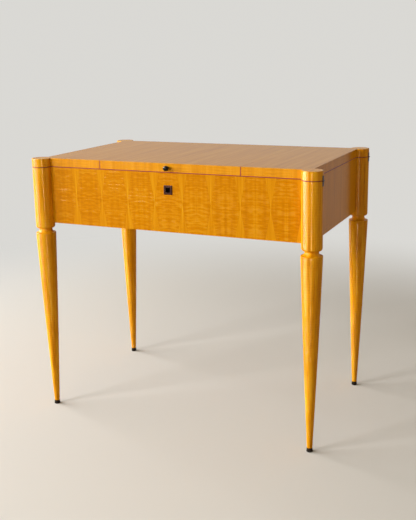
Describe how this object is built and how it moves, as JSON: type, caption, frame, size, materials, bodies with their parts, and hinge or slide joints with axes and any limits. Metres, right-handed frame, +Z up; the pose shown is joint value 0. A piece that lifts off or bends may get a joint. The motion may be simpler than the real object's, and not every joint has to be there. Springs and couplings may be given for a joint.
{
  "type": "dressing table",
  "caption": "Dressing table with four turned tapering legs, a box case with three wells, a centre lid with a mirror below it and two side lids that fold out.",
  "frame": {"origin": "on the floor, under the middle of the table", "axes": "+X to the right seen from the front, -Y towards the user, +Z up"},
  "size_m": [0.8584, 0.5268, 0.75],
  "materials": {
    "sycamore_solid": "polished honey sycamore, solid, fine straight grain",
    "sycamore_lozenge": "polished sycamore veneer laid in lozenges, rippled figure",
    "sycamore_veneer": "polished sycamore veneer, rippled figure",
    "inner_wood": "waxed pale wood",
    "amaranth": "polished purple wood line",
    "bronzed_brass": "dark patinated brass",
    "lock_brass": "brushed brass",
    "steel": "brushed",
    "black_lacquer": "black polished",
    "black_glide": "black satin",
    "mirror_glass": "silvered plate"
  },
  "bodies": {
    "case": {"case_bottom": "inner_wood", "escutcheon": "bronzed_brass", "front_apron": "sycamore_lozenge", "front_left_glide": "black_glide", "front_left_leg": "sycamore_solid", "front_right_glide": "black_glide", "front_right_leg": "sycamore_solid", "glue_blocks": "inner_wood", "left_apron": "sycamore_veneer", "left_hinge_case_leaves": "bronzed_brass", "left_hinge_case_screws": "bronzed_brass", "left_hinge_pins": "bronzed_brass", "left_partition": "inner_wood", "lock_case": "lock_brass", "lock_cover": "lock_brass", "lock_drill_pin": "steel", "lock_screws": "steel", "rear_apron": "sycamore_veneer", "rear_hinge_case_leaves": "bronzed_brass", "rear_hinge_case_screws": "bronzed_brass", "rear_hinge_pins": "bronzed_brass", "rear_left_glide": "black_glide", "rear_left_leg": "sycamore_solid", "rear_right_glide": "black_glide", "rear_right_leg": "sycamore_solid", "right_apron": "sycamore_veneer", "right_hinge_case_leaves": "bronzed_brass", "right_hinge_case_screws": "bronzed_brass", "right_hinge_pins": "bronzed_brass", "right_partition": "inner_wood"},
    "left_lid": {"left_lid_panel": "sycamore_veneer", "left_lid_caps": "sycamore_solid", "left_lid_stringing": "amaranth", "left_hinge_lid_leaves": "bronzed_brass", "left_hinge_lid_screws": "bronzed_brass"},
    "centre_lid": {"centre_lid_panel": "sycamore_veneer", "centre_lid_stringing": "amaranth", "lid_mirror": "mirror_glass", "mirror_beads": "sycamore_veneer", "lid_knob": "black_lacquer", "lock_strike": "lock_brass", "strike_screws": "steel", "rear_hinge_lid_leaves": "bronzed_brass", "rear_hinge_lid_screws": "bronzed_brass"},
    "right_lid": {"right_lid_panel": "sycamore_veneer", "right_lid_caps": "sycamore_solid", "right_lid_stringing": "amaranth", "right_hinge_lid_leaves": "bronzed_brass", "right_hinge_lid_screws": "bronzed_brass"},
    "lock_bolt": {"lock_bolt": "lock_brass"}
  },
  "joints": [
    {"name": "left_lid_hinge", "type": "hinge", "parent": "case", "child": "left_lid", "pos_m": [-0.4275, 0, 0.7248], "axis": [0, -1, 0], "range_deg": [0, 180]},
    {"name": "right_lid_hinge", "type": "hinge", "parent": "case", "child": "right_lid", "pos_m": [0.4275, 0, 0.7248], "axis": [0, 1, 0], "range_deg": [0, 180]},
    {"name": "centre_lid_hinge", "type": "hinge", "parent": "case", "child": "centre_lid", "pos_m": [0, 0.2325, 0.7248], "axis": [-1, 0, 0], "range_deg": [0, 100]},
    {"name": "lock_bolt_slide", "type": "slide", "parent": "case", "child": "lock_bolt", "axis": [0, 0, 1], "range_m": [0, 0.006]}
  ]
}
